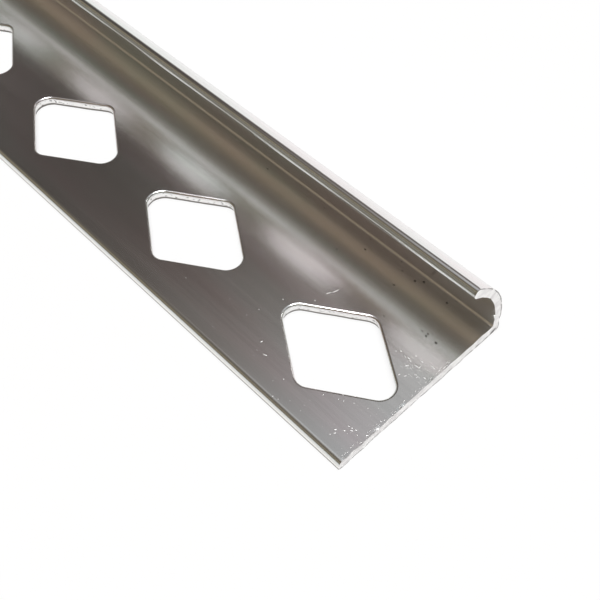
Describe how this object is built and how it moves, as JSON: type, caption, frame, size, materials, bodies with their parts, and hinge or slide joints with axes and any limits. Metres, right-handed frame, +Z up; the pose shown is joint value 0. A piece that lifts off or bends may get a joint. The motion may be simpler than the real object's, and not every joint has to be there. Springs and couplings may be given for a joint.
{
  "type": "tile edge trim",
  "caption": "Extruded aluminium tile edge trim: flat anchoring leg with a row of diamond holes, and a wall that curls over the tile edge.",
  "frame": {"origin": "middle of the underside's bounding box, half way along the length and half way between the leg's outer edge and the wall's outer face", "axes": "+X along the length towards the end with the first hole, +Y across the leg towards the wall's outer face, +Z up from the underside"},
  "size_m": [1, 0.025, 0.012],
  "materials": {
    "bright_aluminium": "bright polished extrusion, mirror-like along the die lines, with punched hole walls and sawn ends left raw"
  },
  "bodies": {
    "root": {"trim_profile": "bright_aluminium"}
  },
  "joints": []
}
